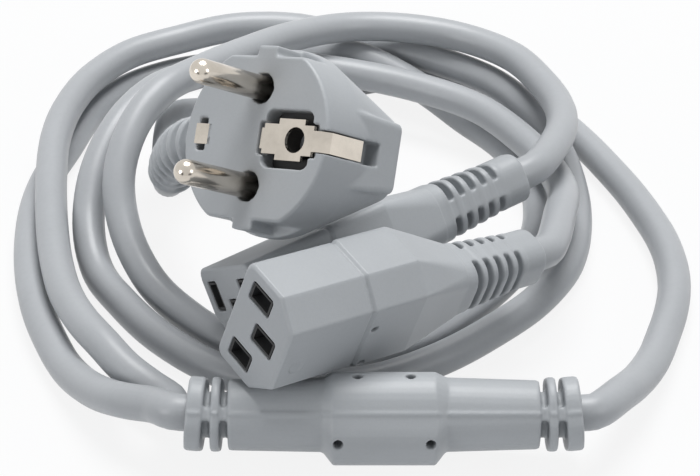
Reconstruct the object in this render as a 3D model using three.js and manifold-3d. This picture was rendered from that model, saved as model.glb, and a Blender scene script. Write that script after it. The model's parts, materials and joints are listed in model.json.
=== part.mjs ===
// Y-shaped power cord splitter: one earthed two-pin mains plug, one moulded splitter and
// two three-slot appliance connectors, all on grey round cord and laid in a loose coil.
// Units are millimetres, Z is up. The origin is on the table under the middle of the splitter.

import * as THREE from 'three';
import { ConvexGeometry } from 'three/addons/geometries/ConvexGeometry.js';
import { mergeVertices } from 'three/addons/utils/BufferGeometryUtils.js';
import Module from 'manifold-3d';

const wasm = await Module();
wasm.setup();

// Clearances
const fit = 0.3;          // gap between pieces that sit in or against each other

// Cord
const cordDiameter = 7;
const cordSides = 12;
const wireDiameter = 1.7;
const wireSides = 8;
const wireSpread = 1.35;  // distance of each insulated wire from the cord's axis
const coreBore = 5.4;     // bore in a moulding for the three wires

// Splitter, along X
const splitterLength = 72.2;
const splitterRoll = 38;        // degrees, the near edge of the parting plane is raised
const splitterPlace = [0.1, 0.2, 11.36];   // middle of the axis, so that the moulding stands over the origin
const bodyWidth = 19;           // across both cords, in the parting plane
const bodyThickness = 13.6;
const bulgeLength = 23;
const bulgeWidth = 21.4;
const bulgeAbove = 8;           // from the parting plane up
const bulgeBelow = 9.5;         // from the parting plane down
const bulgeShoulder = 1.9;      // length of the sloped shoulders
const collarLength = 3.1;
const discLength = 1.7;
const slitLength = 1.5;
const slitWeb = 2.4;            // thickness of the bridge that is left between slits
const discFlex = 2;             // degrees, how far the slit ends are pulled up by the cords
const collarFlex = 5;
const neckDiameter = 8.6;
const splitterParting = 0.3;    // height of the flash ridge
const branchSpacing = 7.7;      // between the two branch cords
const holeDiameter = 1.9;       // locating holes in the bulge
const holeDepth = 2.2;
const topHoleSpacing = 9.9;
const topHoleForward = 6.4;     // from the axis towards the viewer
const sideHoleSpacing = 17.2;
const sideHoleAngle = 120;      // round the axis from the top towards the viewer
const singleWidth = 15.4;       // width at the end with one cord
const spliceBlockSize = [20, 12.6, 7.4];
const crimpDiameter = 3;
const crimpBore = 2.1;
const crimpLength = 8;
const crimpPitch = 4;

// Appliance connector, local Z points out of its face
const faceLong = 23;
const faceShort = 16;
const faceChamferLong = 4.6;    // earth-side corners
const faceChamferShort = 5.4;
const faceCorner = 1.6;
const faceEdge = 0.6;
const noseLength = 19.6;        // from the face to the seam
const seamWidth = 0.5;
const seamDepth = 0.45;
const bodyEnd = 32;             // where the taper begins
const neckStart = 47;
const neckLong = 14;
const neckShort = 12.4;
const connectorLength = 70.3;
const slotPitch = 14;           // between the two line slots
const slotOffset = 2;           // line slots below, earth slot above the middle
const slotFrame = [4.1, 6.4];
const slotHole = [2.7, 4.9];
const slotDepth = 17;
const coreWall = 1.9;           // moulding round the core
const coreLength = 20;
const coreFront = 1;
const contactWall = 0.35;
const contactLength = 12;
const contactDepth = 3.5;
const wireRoom = [18.4, 9];     // room for the wires behind the core
const wireRoomEnd = 36;
const reliefEndDiameter = 10.4;
const reliefCore = 8.4;
const ribLength = 2.1;
const ribPitch = 3.7;
const ribCount = 6;
const reliefWeb = 2.6;

// Plug, local Z points out along the pins, local Y points to the earth hole
const plugDiameter = 37;
const plugFlats = 31.8;         // across the two flats
const flatDepth = 7;
const discDepth = 10;
const guideWidth = 5;
const guideReach = 17.9;
const plugBack = 23;            // depth of the rear face
const plugBackWidth = 17;
const plugBackCord = -15;       // rear face towards the cord
const plugBackEnd = 17.5;       // rear face towards the earth hole
const gripReach = 22.4;         // finger grip beside the earth clip
const gripWidth = 15;
const gripFront = 15.6;
const pinDiameter = 4.8;
const pinLength = 19;
const pinSpacing = 19;
const pinRecess = 6.9;
const pinRoot = 12;
const earthHoleOffset = 10;
const earthHole = 5;
const socketWall = 0.5;
const socketLength = 9;
const pocketLong = 12;          // across the pins' line
const pocketShort = 11.2;
const pocketDepth = 2.4;
const plateLong = 12.6;
const plateWide = 5.8;
const plateTab = [6.6, 8];
const stripThickness = 0.7;
const stripWidth = 4;
const clipReach = 18;
const clipEnd = 11;
const clipRecess = 15.1;
const plugCoreRadius = 14;
const plugCoreFront = 3.5;
const plugCoreBack = 16;
const plugReliefDepth = 10.5;   // depth of the relief's axis behind the face
const plugReliefRoot = 13;
const plugReliefEnd = 10;
const plugRibCount = 7;

// Where each moulding lies: place, compass direction of its face, tilt up, and roll
const frontConnectorPose = { place: [-23.9, -2.3, 32.3], turn: 220, tilt: 10, roll: -15.5 };
const rearConnectorPose = { place: [-29.5, 28.5, 17.7], turn: 215, tilt: -4, roll: -58 };
const plugPose = { place: [-25, 33.2, 53.4], turn: 221, tilt: 32, roll: 20 };

// Cord routes, picked along the strands; the first and last points are set by the mouldings
const mainRoute = [
  [45.6, 10.1, 9.6], [49.9, 18.3, 6.8], [54, 27.7, 4.8], [57.2, 37.6, 3.7], [59.8, 46.3, 3.6],
  [61.5, 55.1, 3.6], [61.9, 64.3, 3.6], [61, 73.7, 3.6], [58.9, 82.9, 3.6], [56, 92.9, 3.6],
  [52, 103.7, 3.6], [47.3, 114.9, 3.6], [40, 128.4, 3.6], [30, 139.4, 3.6], [18, 145.4, 3.6],
  [5, 146.6, 3.7], [-8, 142.4, 3.7], [-20.2, 135, 3.7], [-31, 125.4, 7.5], [-40, 113.4, 12.5],
  [-45.9, 100.3, 18.4],
];
const frontRoute = [
  [37.6, 64.4, 16.5], [39.2, 75.4, 14.2], [37.8, 88.4, 12.2], [33.2, 101.4, 11.4],
  [22.9, 117.1, 11.5], [9.1, 126.5, 11.8], [-7.2, 132.1, 12.6], [-20.4, 131.9, 14.5],
  [-33, 126, 17.6], [-43, 115.9, 20.8], [-51.1, 105.5, 22.5], [-57.6, 94.4, 20.6],
  [-62, 83.4, 15.4], [-63, 72.5, 8.8], [-60.3, 60.8, 4.4], [-54, 49.3, 3.7], [-45.1, 36.8, 3.7],
  [-32.9, 26, 3.6], [-18.6, 20.3, 3.7], [-3.2, 21.8, 3.6], [11.2, 29.6, 3.6], [22.8, 39.7, 3.6],
  [32.5, 50.6, 3.6], [39.6, 63.7, 3.6], [42.8, 79.4, 3.7], [43.1, 94.9, 3.7], [40.9, 106.3, 6.4],
  [35.7, 117.4, 9.6], [27.4, 130, 10.9], [13.5, 141, 11.2], [-2.5, 148.3, 11.4],
  [-18.8, 154, 12.9], [-34.7, 154.1, 13], [-48.3, 150.8, 11.4], [-59.4, 143.8, 11.3],
  [-67.4, 132.1, 11.3], [-71.8, 117, 11.6], [-73.2, 103.5, 11.3], [-72.6, 88.9, 10.7],
  [-70.8, 72, 10.1], [-68.3, 56.8, 9.8], [-65.1, 44.4, 9.7], [-60.8, 34.5, 9.9],
  [-55.7, 26.3, 9.8], [-50.9, 20.1, 8.5], [-45.7, 15.3, 7.4], [-41.6, 11, 7.4],
];
const rearRoute = [
  [37.8, 84.5, 21.8], [40.1, 94.8, 20.2], [40.2, 105.5, 18.8], [37.4, 116.6, 18.4],
  [31.2, 129.4, 18.4], [20, 138.6, 18.5], [6.4, 142.1, 19.2], [-7.6, 139.7, 20.7],
  [-20.5, 130.2, 23.2], [-30.4, 117.8, 26], [-39.1, 105.6, 28.4], [-47.4, 94.5, 29.3],
  [-53.1, 85.6, 25.9], [-56.1, 75.1, 19.1], [-54.2, 65, 11.4], [-48.6, 55.3, 5.4],
  [-40.9, 45.6, 3.7], [-30.6, 35.6, 3.6], [-18.5, 30.8, 3.7], [-5.7, 31.1, 3.7], [6.8, 36.6, 3.6],
  [18, 47.4, 3.6], [26.9, 59.8, 3.6], [33, 72.8, 3.7], [35.1, 86.4, 3.7], [33.9, 100.4, 3.7],
  [28.3, 113.9, 3.7], [20.2, 125.7, 3.7], [9.9, 134.3, 7.5], [-4.6, 140.1, 12.6],
  [-17.8, 145.5, 10.4], [-29, 149.6, 5.9], [-40.1, 150.2, 4.3], [-50.8, 147.1, 3.8],
  [-60.4, 140.1, 3.7], [-68, 127.6, 3.7], [-72, 112, 3.7], [-75.2, 98.5, 3.7], [-76.4, 85.6, 3.7],
  [-75.9, 72.6, 3.7], [-74.3, 59.9, 3.6], [-71.6, 47.6, 3.7], [-67.9, 36.7, 3.7],
  [-63.2, 26.2, 3.7], [-56.9, 15.5, 6.4], [-50.1, 7, 10.3], [-43.7, 2.7, 12.4],
];

// Materials
const plastic = (color, roughness) => new THREE.MeshStandardMaterial({ color, roughness, metalness: 0 });
const metal = (color, roughness) => new THREE.MeshStandardMaterial({ color, roughness, metalness: 1 });
const greyMoulding = plastic('#a3a8ac', 0.5);
const greySheath = plastic('#a6abae', 0.45);
const darkInsert = plastic('#4c4d50', 0.55);
const paleBlock = plastic('#d8d6cf', 0.6);
const nickel = metal('#c9c2b6', 0.25);
const brass = metal('#c0a15e', 0.35);
const wireColours = { live: '#6b4a2f', neutral: '#3f6fae', earth: '#b9b93c' };

// Booleans
function solid(geometry) {
  const clean = geometry.clone();
  clean.deleteAttribute('normal');
  clean.deleteAttribute('uv');
  const merged = mergeVertices(clean, 1e-4);
  return new wasm.Manifold(new wasm.Mesh({
    numProp: 3,
    vertProperties: new Float32Array(merged.attributes.position.array),
    triVerts: new Uint32Array(merged.index.array),
  }));
}

function geometryOf(shape) {
  const mesh = shape.getMesh();
  const geometry = new THREE.BufferGeometry();
  geometry.setAttribute('position', new THREE.BufferAttribute(new Float32Array(mesh.vertProperties), 3));
  geometry.setIndex(new THREE.BufferAttribute(new Uint32Array(mesh.triVerts), 1));
  geometry.computeVertexNormals();
  return geometry;
}

const join = (...shapes) => shapes.reduce((whole, shape) => whole.add(shape));
const cut = (shape, ...tools) => tools.reduce((rest, tool) => rest.subtract(tool), shape);

// Basic shapes
function box(size, centre) {
  return solid(new THREE.BoxGeometry(...size).translate(...centre));
}

function boxBetween(low, high) {
  return box(low.map((value, i) => high[i] - value), low.map((value, i) => (high[i] + value) / 2));
}

// A cylinder between two heights along Z
function post(radius, low, high, place = [0, 0], sides = 24, topRadius = radius) {
  const geometry = new THREE.CylinderGeometry(topRadius, radius, high - low, sides);
  geometry.rotateX(Math.PI / 2);
  return solid(geometry.translate(place[0], place[1], (low + high) / 2));
}

// A slab of an outline in XY between two heights
function slab(outline, low, high) {
  const shape = new THREE.Shape(outline.map(([x, y]) => new THREE.Vector2(x, y)));
  const geometry = new THREE.ExtrudeGeometry(shape, { depth: high - low, bevelEnabled: false });
  return solid(geometry.translate(0, 0, low));
}

// A convex body through outlines given at several heights
function hull(...rings) {
  const points = rings.flatMap(([outline, height]) => outline.map(([x, y]) => new THREE.Vector3(x, y, height)));
  return solid(new ConvexGeometry(points));
}

// A tube of flat-sided section along a smooth path
function tube(points, diameter, sides, steps) {
  const section = new THREE.Shape();
  for (let i = 0; i < sides; i++) {
    const angle = (i / sides) * 2 * Math.PI;
    const spot = [Math.cos(angle) * diameter / 2, Math.sin(angle) * diameter / 2];
    if (i === 0) section.moveTo(...spot);
    else section.lineTo(...spot);
  }
  const path = new THREE.CatmullRomCurve3(points.map((p) => new THREE.Vector3(...p)), false, 'centripetal');
  return new THREE.ExtrudeGeometry(section, { steps, bevelEnabled: false, extrudePath: path });
}

// An ellipse-like outline with straight sides: half sizes and corner radius
function roundedOutline(halfX, halfY, radius, arcSteps = 4) {
  const points = [];
  const corners = [[1, 1, 0], [-1, 1, 90], [-1, -1, 180], [1, -1, 270]];
  for (const [sx, sy, start] of corners) {
    for (let i = 0; i <= arcSteps; i++) {
      const angle = THREE.MathUtils.degToRad(start + (90 * i) / arcSteps);
      points.push([
        sx * (halfX - radius) + radius * Math.cos(angle),
        sy * (halfY - radius) + radius * Math.sin(angle),
      ]);
    }
  }
  return points;
}

function circleOutline(radius, sides = 24) {
  return Array.from({ length: sides }, (_, i) => {
    const angle = (i / sides) * 2 * Math.PI;
    return [radius * Math.cos(angle), radius * Math.sin(angle)];
  });
}

const grown = (outline, by) => outline.map(([x, y]) => [
  x + by * Math.sign(x) * Number(Math.abs(x) > 1e-6),
  y + by * Math.sign(y) * Number(Math.abs(y) > 1e-6),
]);

// Scene graph
const splitter = new THREE.Group();

function addMesh(parent, name, shape, material) {
  const mesh = new THREE.Mesh(shape.isBufferGeometry ? shape : geometryOf(shape), material);
  mesh.name = name;
  parent.add(mesh);
}

// Nested groups turn a moulding to its compass direction, tilt and roll
function poseGroup({ place, turn, tilt, roll }) {
  const turned = new THREE.Group();
  const tilted = new THREE.Group();
  const rolled = new THREE.Group();
  turned.position.set(...place);
  turned.rotation.z = THREE.MathUtils.degToRad(turn);
  tilted.rotation.y = THREE.MathUtils.degToRad(90 - tilt);
  rolled.rotation.z = THREE.MathUtils.degToRad(roll);
  tilted.add(rolled);
  turned.add(tilted);
  splitter.add(turned);
  turned.updateWorldMatrix(true, true);
  return rolled;
}

const worldPoint = (group, local) => group.localToWorld(new THREE.Vector3(...local)).toArray();

// Three insulated wires that fan from the cord's centre to their terminals
const wireNames = ['live', 'neutral', 'earth'];
const wireAngles = { live: -30, neutral: 210, earth: 90 };
function wireSpot(name) {
  const angle = THREE.MathUtils.degToRad(wireAngles[name]);
  return [wireSpread * Math.cos(angle), wireSpread * Math.sin(angle)];
}

// Appliance connector
function faceOutline(longSide, shortSide, chamferLong, chamferShort) {
  const x = longSide / 2;
  const y = shortSide / 2;
  const r = faceCorner;
  const soft = r * (1 - Math.SQRT1_2);
  return [
    [x - chamferLong, y], [-x + chamferLong, y], [-x, y - chamferShort],
    [-x, -y + r], [-x + soft, -y + soft], [-x + r, -y],
    [x - r, -y], [x - soft, -y + soft], [x, -y + r], [x, y - chamferShort],
  ];
}

function coreOutline() {
  return faceOutline(faceLong - 2 * coreWall, faceShort - 2 * coreWall, faceChamferLong, faceChamferShort);
}

const slotPlaces = {
  live: [slotPitch / 2, -slotOffset],
  neutral: [-slotPitch / 2, -slotOffset],
  earth: [0, slotOffset],
};

// Ribs of a strain relief along Z, joined by a web in the parting plane
function reliefRibs(startZ, endZ, rootDiameter, endDiameter) {
  const parts = [post(reliefCore / 2, endZ, startZ)];
  for (let i = 0; i < ribCount; i++) {
    const top = endZ + ribLength + i * ribPitch;
    const share = (top - endZ) / (startZ - endZ);
    const radius = THREE.MathUtils.lerp(endDiameter, rootDiameter, share) / 2;
    parts.push(post(radius, top - ribLength, top, [0, 0], 20));
  }
  const outline = [
    [endDiameter / 2 - 0.3, endZ], [rootDiameter / 2 - 0.3, startZ],
    [-rootDiameter / 2 + 0.3, startZ], [-endDiameter / 2 + 0.3, endZ],
  ];
  const web = slab(outline, -reliefWeb / 2, reliefWeb / 2).rotate([90, 0, 0]);
  return join(...parts, web);
}

function connectorBody() {
  const outline = faceOutline(faceLong, faceShort, faceChamferLong, faceChamferShort);
  const inset = grown(outline, -seamDepth);
  const neck = roundedOutline(neckLong / 2, neckShort / 2, 4.5, 3);
  const nose = hull([grown(outline, -faceEdge), 0], [outline, -faceEdge], [outline, -noseLength]);
  const seam = slab(inset, -noseLength - seamWidth - 0.5, -noseLength + 0.5);
  const back = hull([outline, -noseLength - seamWidth], [outline, -bodyEnd], [neck, -neckStart]);
  const relief = reliefRibs(-neckStart + 1, -connectorLength, 12.2, reliefEndDiameter);
  const cavity = slab(grown(coreOutline(), fit), -coreFront - coreLength - fit, -coreFront + fit);
  const room = hull(
    [roundedOutline(wireRoom[0] / 2, wireRoom[1] / 2, 1, 1), -coreFront - coreLength],
    [roundedOutline(coreBore / 2 + 0.8, coreBore / 2 + 0.4, 1, 1), -wireRoomEnd],
  );
  const bore = post(coreBore / 2, -connectorLength - 1, -wireRoomEnd + 1, [0, 0], 16);
  const openings = Object.values(slotPlaces).map(([x, y]) => (
    box([slotFrame[0], slotFrame[1], 2 * coreFront + 1], [x, y, -coreFront / 2])
  ));
  return cut(join(nose, seam, back, relief), cavity, room, bore, ...openings);
}

function connectorCore() {
  const block = slab(coreOutline(), -coreFront - coreLength, -coreFront);
  const frames = Object.values(slotPlaces).map(([x, y]) => (
    box([slotFrame[0] - 2 * fit, slotFrame[1] - 2 * fit, coreFront], [x, y, -coreFront / 2 - 0.2])
  ));
  const slots = Object.values(slotPlaces).map(([x, y]) => (
    box([slotHole[0], slotHole[1], slotDepth + 1], [x, y, -slotDepth / 2 + 0.5])
  ));
  const passages = Object.values(slotPlaces).map(([x, y]) => (
    post(wireDiameter / 2 + fit, -coreFront - coreLength - 1, -slotDepth + 1, [x, y], 12)
  ));
  return cut(join(block, ...frames), ...slots, ...passages);
}

// A folded brass sleeve that grips a blade
function connectorContact([x, y]) {
  const width = slotHole[0] - 2 * fit;
  const height = slotHole[1] - 2 * fit;
  const middle = -contactDepth - contactLength / 2;
  const sleeve = box([width, height, contactLength], [x, y, middle]);
  const hollow = box([width - 2 * contactWall, height - 2 * contactWall, contactLength + 2], [x, y, middle]);
  const seam = box([contactWall * 1.6, height, contactLength + 2], [x, y + height / 2, middle]);
  return cut(sleeve, hollow, seam);
}

function addConnector(prefix, pose) {
  const group = poseGroup(pose);
  addMesh(group, `${prefix}_body`, connectorBody(), greyMoulding);
  addMesh(group, `${prefix}_core`, connectorCore(), darkInsert);
  wireNames.forEach((name) => {
    const [x, y] = slotPlaces[name];
    addMesh(group, `${prefix}_contact_${name}`, connectorContact([x, y]), brass);
    const start = -contactDepth - contactLength - fit;
    const points = [
      [x, y, start], [x, y, start - 3], [x, y, -coreFront - coreLength - 0.5],
      [...wireSpot(name), -wireRoomEnd + 2], [...wireSpot(name), -wireRoomEnd - 4],
      [...wireSpot(name), -connectorLength + fit],
    ];
    addMesh(group, `${prefix}_wire_${name}`, tube(points, wireDiameter, wireSides, 12),
      plastic(wireColours[name], 0.5));
  });
  return group;
}

// Plug
const plugRound = circleOutline(plugDiameter / 2, 48);
const plugFlatted = plugRound.map(([x, y]) => [THREE.MathUtils.clamp(x, -plugFlats / 2, plugFlats / 2), y]);
const plugPinPlaces = { live: [pinSpacing / 2, 0], neutral: [-pinSpacing / 2, 0] };

// The relief leaves the flank opposite the earth hole and bends back with the cord
const plugReliefPath = new THREE.CatmullRomCurve3([
  new THREE.Vector3(0, -12, -plugReliefDepth),
  new THREE.Vector3(0.2, -20, -plugReliefDepth - 0.4),
  new THREE.Vector3(1.2, -30, -plugReliefDepth - 3),
  new THREE.Vector3(3.4, -39, -plugReliefDepth - 8.4),
  new THREE.Vector3(5.6, -44.6, -plugReliefDepth - 13.2),
]);
const plugReliefStart = 0.2;

function alongRelief(share, depth, radius, sides) {
  const centre = plugReliefPath.getPointAt(share);
  const direction = plugReliefPath.getTangentAt(share);
  const geometry = new THREE.CylinderGeometry(radius, radius, depth, sides);
  geometry.applyQuaternion(new THREE.Quaternion().setFromUnitVectors(new THREE.Vector3(0, 1, 0), direction));
  return solid(geometry.translate(...centre.toArray()));
}

function plugRelief() {
  const path = Array.from({ length: 9 }, (_, i) => plugReliefPath.getPointAt(i / 8).toArray());
  const parts = [solid(tube(path, reliefCore, 16, 10))];
  const length = plugReliefPath.getLength();
  const last = 1 - ribLength / 2 / length;
  for (let i = 0; i < plugRibCount; i++) {
    const share = THREE.MathUtils.lerp(last, plugReliefStart, i / (plugRibCount - 1));
    const radius = THREE.MathUtils.lerp(plugReliefEnd, plugReliefRoot, i / (plugRibCount - 1)) / 2;
    parts.push(alongRelief(share, ribLength, radius, 20));
  }
  return join(...parts);
}

function plugBody() {
  const front = slab(plugFlatted, -flatDepth, 0);
  const guides = box([2 * guideReach, guideWidth, flatDepth], [0, 0, -flatDepth / 2]);
  const disc = slab(plugRound, -discDepth, -flatDepth + 0.2);
  const backMiddle = (plugBackCord + plugBackEnd) / 2;
  const backHalf = (plugBackEnd - plugBackCord) / 2;
  const backOutline = roundedOutline(plugBackWidth / 2, backHalf, 5, 3).map(([x, y]) => [x, y + backMiddle]);
  const back = hull([plugRound, -discDepth + 0.2], [backOutline, -plugBack]);
  const grip = hull(
    [roundedOutline(gripWidth / 2, 4, 1, 2).map(([x, y]) => [x, y + gripReach - 4]), -gripFront],
    [roundedOutline(gripWidth / 2 - 1, 3.4, 1, 2).map(([x, y]) => [x, y + gripReach - 4.2]), -plugBack + 2],
  );
  const cavity = post(plugCoreRadius + fit, -plugCoreBack - fit, -pocketDepth, [0, 0], 32);
  const pocket = boxBetween(
    [-pocketShort / 2, earthHoleOffset - pocketLong / 2 - 1.6, -pocketDepth - 1],
    [pocketShort / 2, earthHoleOffset + pocketLong / 2 - 1.6, 1],
  );
  const plateSeat = boxBetween([-plateWide / 2 - fit, 0.9, -1.7], [plateWide / 2 + fit, plugDiameter, 1]);
  const riser = boxBetween([-stripWidth / 2 - fit, 0.9, -2.7], [stripWidth / 2 + fit, 2.6, 0]);
  const pinHoles = Object.values(plugPinPlaces).map((place) => post(pinRecess / 2, -pocketDepth - 1, 1, place));
  const earthSide = boxBetween(
    [-stripWidth / 2 - fit, 15.6, -clipRecess], [stripWidth / 2 + fit, plugDiameter / 2 + 1, 1],
  );
  const cordSide = boxBetween(
    [-plateWide / 2 - fit, -plugDiameter / 2 - 1, -3.8], [plateWide / 2 + fit, -11.3, 1],
  );
  const cordFlank = boxBetween(
    [-plateWide / 2 - fit, -plugDiameter / 2 - 1, -clipEnd + 7.5], [plateWide / 2 + fit, -15.6, -3],
  );
  const borePath = Array.from({ length: 9 }, (_, i) => plugReliefPath.getPointAt(i / 8));
  borePath.push(plugReliefPath.getPointAt(1).add(plugReliefPath.getTangentAt(1)));
  const bore = solid(tube(borePath.map((p) => p.toArray()), coreBore, 12, 12));
  return cut(join(front, guides, disc, back, grip, plugRelief()),
    cavity, pocket, plateSeat, riser, ...pinHoles, earthSide, cordSide, cordFlank, bore);
}

function plugCore() {
  const block = post(plugCoreRadius, -plugCoreBack, -plugCoreFront, [0, 0], 32);
  const pinBores = Object.values(plugPinPlaces).map((place) => (
    post(pinDiameter / 2 + fit, -pinRoot - 0.5, 0, place, 20)
  ));
  const socketBore = post(earthHole / 2 + socketWall + fit, -socketLength - 2, 0, [0, earthHoleOffset], 20);
  const wireBores = Object.values(plugPinPlaces).map((place) => (
    boxBetween([Math.min(place[0], 0) - 1.3, -1.3, -plugCoreBack - 1], [Math.max(place[0], 0) + 1.3, 1.3, -pinRoot])
  ));
  const earthBore = boxBetween([-1.4, 0, -plugCoreBack - 1], [1.4, earthHoleOffset, -socketLength - 1.5]);
  const throat = boxBetween([-5.6, -plugCoreRadius - 1, -plugCoreBack - 1], [5.6, 1, -7]);
  return cut(block, ...pinBores, socketBore, ...wireBores, earthBore, throat);
}

function plugPin([x, y]) {
  const radius = pinDiameter / 2;
  const profile = [[0, -pinRoot], [radius, -pinRoot]];
  for (let i = 0; i <= 6; i++) {
    const angle = (i / 6) * (Math.PI / 2);
    profile.push([radius * Math.cos(angle), pinLength - radius + radius * Math.sin(angle)]);
  }
  profile[profile.length - 1][0] = 0;
  const geometry = new THREE.LatheGeometry(profile.map(([r, z]) => new THREE.Vector2(r, z)), 24);
  geometry.rotateX(Math.PI / 2);
  return solid(geometry.translate(x, y, 0));
}

// One bent strip: flank clip, plate with the earth hole, bridge behind the face, second clip
function plugEarthStrip() {
  const t = stripThickness;
  const profile = [
    [-clipReach + 0.6, -3.4], [-15.6, -0.4], [-12.4, -0.4], [-12.4, -2.5 - t], [1.9, -2.5 - t],
    [1.9, -0.5 - t], [15.9, -0.5 - t], [clipReach - t, -2.2], [clipReach - t, -clipEnd],
    [clipReach, -clipEnd], [clipReach, -1.9], [16.3, -0.5], [1.9 - t, -0.5], [1.9 - t, -2.5],
    [-12.4 + t, -2.5], [-12.4 + t, -0.4 + t - 0.3], [-15.8, -0.4 + t - 0.3], [-clipReach, -3.1],
  ];
  const strip = slab(profile, -stripWidth / 2, stripWidth / 2).rotate([90, 0, 90]);
  const plate = boxBetween([-plateWide / 2, 1.9, -0.5 - t], [plateWide / 2, 1.9 + plateLong, -0.5]);
  const tab = box([plateTab[1], plateTab[0], t], [0, earthHoleOffset - 1.2, -0.5 - t / 2]);
  const hole = post(earthHole / 2, -3, 1, [0, earthHoleOffset], 20);
  return cut(join(strip, plate, tab), hole);
}

function plugEarthSocket() {
  const outer = post(earthHole / 2 + socketWall, -1.2 - fit - socketLength, -1.2 - fit, [0, earthHoleOffset], 20);
  const inner = post(earthHole / 2, -2 - fit - socketLength, 0, [0, earthHoleOffset], 20);
  return cut(outer, inner);
}

function addPlug() {
  const group = poseGroup(plugPose);
  addMesh(group, 'plug_body', plugBody(), greyMoulding);
  addMesh(group, 'plug_core', plugCore(), darkInsert);
  for (const [name, place] of Object.entries(plugPinPlaces)) {
    addMesh(group, `plug_pin_${name}`, plugPin(place), nickel);
  }
  addMesh(group, 'plug_earth_strip', plugEarthStrip(), nickel);
  addMesh(group, 'plug_earth_socket', plugEarthSocket(), nickel);
  const tails = {
    live: [[pinSpacing / 2, 0, -pinRoot - 1.5], [4.5, -0.2, -14]],
    neutral: [[-pinSpacing / 2, 0, -pinRoot - 1.5], [-4.5, -0.2, -14]],
    earth: [[0, earthHoleOffset - 2, -socketLength - 3.2], [0, 3, -13.6]],
  };
  const spread = { live: 1, neutral: -1, earth: 0 };
  for (const name of wireNames) {
    const side = spread[name] * wireSpread;
    const lift = name === 'earth' ? -wireSpread : wireSpread * 0.6;
    const run = [0.12, 0.45, 0.75].map((share) => plugReliefPath.getPointAt(share));
    const end = plugReliefPath.getPointAt(1).addScaledVector(plugReliefPath.getTangentAt(1), -wireDiameter);
    const points = [...tails[name], ...[...run, end].map((p) => [p.x + side, p.y, p.z + lift])];
    addMesh(group, `plug_wire_${name}`, tube(points, wireDiameter, wireSides, 12),
      plastic(wireColours[name], 0.5));
  }
  return group;
}

// Splitter moulding, built along X in its own parting frame, then rolled
function splitterSection(width, thickness, radius) {
  return roundedOutline(width / 2, thickness / 2, radius, 4);
}

// Slabs of a section in YZ between two places along X
function station(outline, low, high) {
  return slab(outline, low, high).rotate([90, 0, 90]);
}

// The outer slit is where the collar bends; a point is so far past it, and so far off the axis
const collarPivot = splitterLength / 2 - collarLength - slitLength / 2;
function collarPoint(sign, distance, offset) {
  const flex = THREE.MathUtils.degToRad(collarFlex);
  return [
    sign * (collarPivot + distance * Math.cos(flex)),
    offset,
    distance * Math.sin(flex),
  ];
}

function raised([x, y, z], height) {
  return [x, y, z + height];
}

function bent(shape, sign, pivot, degrees) {
  return shape.translate([-sign * pivot, 0, 0]).rotate([0, -sign * degrees, 0]).translate([sign * pivot, 0, 0]);
}

function endRings(sign, width, bores) {
  const end = splitterLength / 2;
  const outline = splitterSection(width, bodyThickness + 0.4, 5.6);
  const inner = splitterSection(width - 5.4, neckDiameter, neckDiameter / 2 - 0.1);
  const place = (from, to) => (sign > 0 ? [from, to] : [-to, -from]);
  const firstDisc = end - collarLength - slitLength;
  const coreStart = firstDisc - discLength - slitLength - 0.5;
  const web = (from, to) => {
    const [low, high] = place(from, to);
    return boxBetween([low, -width / 2 + 0.6, -slitWeb / 2], [high, width / 2 - 0.6, slitWeb / 2]);
  };
  const collar = join(
    station(outline, ...place(end - collarLength, end)),
    station(inner, ...place(collarPivot - 0.3, end - 0.5)),
    web(collarPivot - 0.3, end - 0.5),
  );
  const disc = station(outline, ...place(firstDisc - discLength, firstDisc));
  const parts = [
    bent(collar, sign, collarPivot, collarFlex),
    bent(disc, sign, firstDisc - discLength - slitLength / 2, discFlex),
    station(inner, ...place(coreStart, collarPivot + 0.6)),
    web(coreStart, collarPivot + 0.3),
  ];
  const tools = bores.flatMap((y) => {
    const bore = (from, to) => post(coreBore / 2, ...place(from, to), [y, 0], 16).rotate([90, 0, 90]);
    return [bore(5, collarPivot + 0.8), bent(bore(collarPivot - 0.8, end + 1), sign, collarPivot, collarFlex)];
  });
  return { parts, tools };
}

function splitterBody() {
  const bodyEndX = splitterLength / 2 - collarLength - 2 * slitLength - discLength;
  const wide = splitterSection(bodyWidth, bodyThickness, 6);
  const narrow = splitterSection(singleWidth, bodyThickness, 6);
  const along = (rings) => hull(...rings).rotate([90, 0, 90]);
  const body = along([[wide, -bodyEndX], [wide, 4], [narrow, bodyEndX]]);
  const lift = (bulgeAbove - bulgeBelow) / 2;
  const bulgeOutline = splitterSection(bulgeWidth, bulgeAbove + bulgeBelow, 6.6).map(([y, z]) => [y, z + lift]);
  const half = bulgeLength / 2;
  const bulge = along([
    [wide, -half], [bulgeOutline, -half + bulgeShoulder], [bulgeOutline, half - bulgeShoulder], [wide, half],
  ]);
  const ridge = boxBetween(
    [-half, -bulgeWidth / 2 - splitterParting, -0.25], [half, bulgeWidth / 2 + splitterParting, 0.25],
  );
  const left = endRings(-1, bodyWidth, [-branchSpacing / 2, branchSpacing / 2]);
  const right = endRings(1, singleWidth, [0]);
  const cavity = box(spliceBlockSize.map((size) => size + 2 * fit), [0, 0, 0]);
  const fan = boxBetween([-19, -6.4, -3], [19, 6.4, 3]);
  const holes = [-1, 1].flatMap((side) => [
    post(holeDiameter / 2, bulgeAbove - holeDepth, bulgeAbove + 1, [side * topHoleSpacing / 2, -topHoleForward], 12),
    post(holeDiameter / 2, bulgeBelow, bulgeBelow + 4, [0, 0], 12)
      .rotate([sideHoleAngle, 0, 0])
      .translate([side * sideHoleSpacing / 2, 0, 0]),
  ]);
  return cut(join(body, bulge, ridge, ...left.parts, ...right.parts),
    cavity, fan, ...left.tools, ...right.tools, ...holes);
}

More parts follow.
